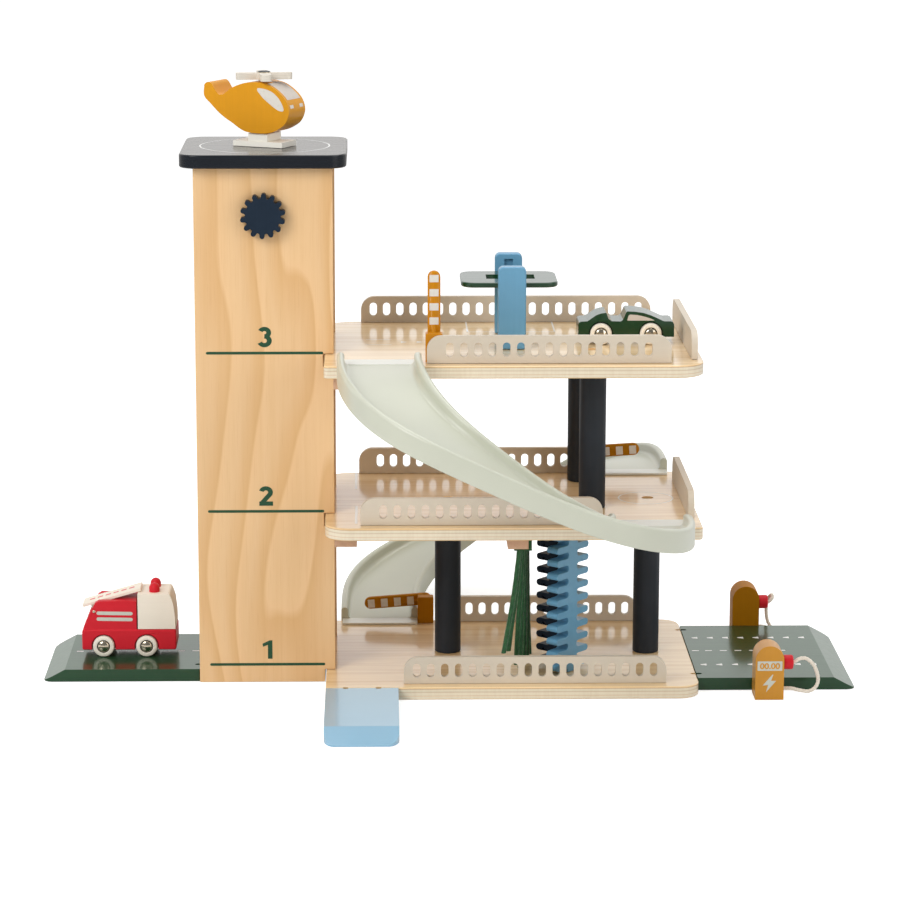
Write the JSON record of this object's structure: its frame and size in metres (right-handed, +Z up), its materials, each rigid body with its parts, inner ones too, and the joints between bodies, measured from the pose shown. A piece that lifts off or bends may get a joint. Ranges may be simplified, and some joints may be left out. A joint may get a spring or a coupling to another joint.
{
  "type": "toy parking garage with lift",
  "caption": "Wooden toy parking garage: stacked decks on columns, a lift tower with a heliport, curved slides, gates, a car wash, a hoist, road plates, charging posts and toy vehicles.",
  "frame": {"origin": "middle of the base deck's underside, on the floor", "axes": "+X along the decks away from the tower, +Y from the front edge to the back edge, +Z up"},
  "size_m": [0.7369, 0.6266, 0.5518],
  "materials": {
    "birch_ply": "clear matt lacquer",
    "tower_veneer": "clear matt lacquer",
    "bare_beech": "bare, sanded",
    "navy_paint": "satin paint",
    "sand_paint": "satin paint",
    "slide_plastic": "satin moulded plastic",
    "blue_paint": "satin paint",
    "road_green": "semi-gloss paint",
    "dark_green_paint": "semi-gloss paint",
    "ochre_paint": "satin paint",
    "cream_paint": "satin paint",
    "red_paint": "satin paint",
    "green_felt": "matt felt",
    "cotton_cord": "matt twisted cotton"
  },
  "bodies": {
    "garage": {"base_deck": "birch_ply", "middle_deck": "birch_ply", "top_deck": "birch_ply", "tower_front_panel": "tower_veneer", "tower_back_panel": "tower_veneer", "tower_left_panel": "tower_veneer", "middle_cleat": "bare_beech", "top_cleat": "bare_beech", "wash_beam": "bare_beech", "heliport_plate": "navy_paint", "upper_front_column": "navy_paint", "upper_back_column": "navy_paint", "lower_left_column": "navy_paint", "lower_right_column": "navy_paint", "base_front_rail": "sand_paint", "base_back_rail": "sand_paint", "middle_front_rail": "sand_paint", "middle_back_rail": "sand_paint", "middle_end_rail": "sand_paint", "top_front_rail": "sand_paint", "top_back_rail": "sand_paint", "top_end_rail": "sand_paint", "upper_slide": "slide_plastic", "lower_slide": "slide_plastic", "front_ramp": "blue_paint", "hoist_front_post": "blue_paint", "hoist_back_post": "blue_paint", "left_road_plate": "road_green", "right_road_plate": "road_green", "top_gate_post": "ochre_paint", "middle_gate_post": "ochre_paint", "base_gate_post": "ochre_paint", "helicopter_body": "ochre_paint", "front_charging_post": "ochre_paint", "back_charging_post": "ochre_paint", "helicopter_skid": "cream_paint", "front_plug": "red_paint", "back_plug": "red_paint", "wash_strips": "green_felt", "front_charging_rope": "cotton_cord", "back_charging_rope": "cotton_cord"},
    "lift": {"lift_cabin": "birch_ply", "lift_cord": "cotton_cord"},
    "winder": {"winding_shaft": "bare_beech", "lift_knob": "navy_paint"},
    "top_gate": {"top_gate_arm": "ochre_paint"},
    "middle_gate": {"middle_gate_arm": "ochre_paint"},
    "base_gate": {"base_gate_arm": "ochre_paint"},
    "brush": {"brush_comb_a": "blue_paint", "brush_comb_b": "blue_paint"},
    "hoist": {"hoist_platform": "dark_green_paint"},
    "rotor": {"helicopter_rotor": "cream_paint"},
    "car": {"car_body": "dark_green_paint"},
    "car_front_axle": {"car_front_wheels": "cream_paint"},
    "car_rear_axle": {"car_rear_wheels": "cream_paint"},
    "fire_engine": {"fire_engine_body": "red_paint", "fire_engine_cab": "cream_paint"},
    "ladder": {"fire_engine_ladder": "cream_paint"},
    "fire_engine_front_axle": {"fire_engine_front_wheels": "cream_paint"},
    "fire_engine_rear_axle": {"fire_engine_rear_wheels": "cream_paint"}
  },
  "joints": [
    {"name": "lift_travel", "type": "slide", "parent": "garage", "child": "lift", "axis": [0, 0, 1], "range_m": [0, 0.292], "deforming": ["lift_cord"]},
    {"name": "knob_turn", "type": "hinge", "parent": "garage", "child": "winder", "pos_m": [-0.22135, 0.0052, 0.4286], "axis": [0, -1, 0], "range_deg": [0, 1495]},
    {"name": "top_gate_swing", "type": "hinge", "parent": "garage", "child": "top_gate", "pos_m": [-0.0706, -0.085, 0.3244], "axis": [0, -1, 0], "range_deg": [0, 90]},
    {"name": "middle_gate_swing", "type": "hinge", "parent": "garage", "child": "middle_gate", "pos_m": [0.0696, 0.107, 0.1784], "axis": [0, -1, 0], "range_deg": [0, 86.5]},
    {"name": "base_gate_swing", "type": "hinge", "parent": "garage", "child": "base_gate", "pos_m": [-0.0751, 0.1189, 0.0324], "axis": [0, 1, 0], "range_deg": [0, 94.3]},
    {"name": "brush_spin", "type": "hinge", "parent": "garage", "child": "brush", "pos_m": [0.051, -0.062, 0.0787], "axis": [0, 0, 1], "continuous": true},
    {"name": "hoist_travel", "type": "slide", "parent": "garage", "child": "hoist", "axis": [0, 0, 1], "range_m": [-0.053, 0.01]},
    {"name": "rotor_spin", "type": "hinge", "parent": "garage", "child": "rotor", "pos_m": [-0.22135, 0.0052, 0.545], "axis": [0, 0, 1], "continuous": true},
    {"name": "car_roll", "type": "slide", "parent": "garage", "child": "car", "axis": [1, 0, 0], "range_m": [-0.018, 0.008]},
    {"name": "car_front_wheels_turn", "type": "hinge", "parent": "car", "child": "car_front_axle", "pos_m": [0.1274, 0.0027, 0.31355], "axis": [0, 1, 0], "continuous": true},
    {"name": "car_rear_wheels_turn", "type": "hinge", "parent": "car", "child": "car_rear_axle", "pos_m": [0.0821, 0.0027, 0.31355], "axis": [0, 1, 0], "continuous": true},
    {"name": "fire_engine_roll", "type": "slide", "parent": "garage", "child": "fire_engine", "axis": [1, 0, 0], "range_m": [-0.01, 0.02]},
    {"name": "fire_engine_front_wheels_turn", "type": "hinge", "parent": "fire_engine", "child": "fire_engine_front_axle", "pos_m": [-0.3344, 0.0105, 0.02155], "axis": [0, 1, 0], "continuous": true},
    {"name": "fire_engine_rear_wheels_turn", "type": "hinge", "parent": "fire_engine", "child": "fire_engine_rear_axle", "pos_m": [-0.3741, 0.0105, 0.02155], "axis": [0, 1, 0], "continuous": true},
    {"name": "ladder_lift", "type": "hinge", "parent": "fire_engine", "child": "ladder", "pos_m": [-0.3824, 0.0105, 0.0542], "axis": [0, -1, 0], "range_deg": [0, 56]}
  ],
  "couplings": [
    {"joint": "knob_turn", "follows": "lift_travel", "rad_per_m": 89.286},
    {"joint": "car_front_wheels_turn", "follows": "car_roll", "rad_per_m": 101.52},
    {"joint": "car_rear_wheels_turn", "follows": "car_roll", "rad_per_m": 101.52},
    {"joint": "fire_engine_front_wheels_turn", "follows": "fire_engine_roll", "rad_per_m": 101.52},
    {"joint": "fire_engine_rear_wheels_turn", "follows": "fire_engine_roll", "rad_per_m": 101.52}
  ]
}
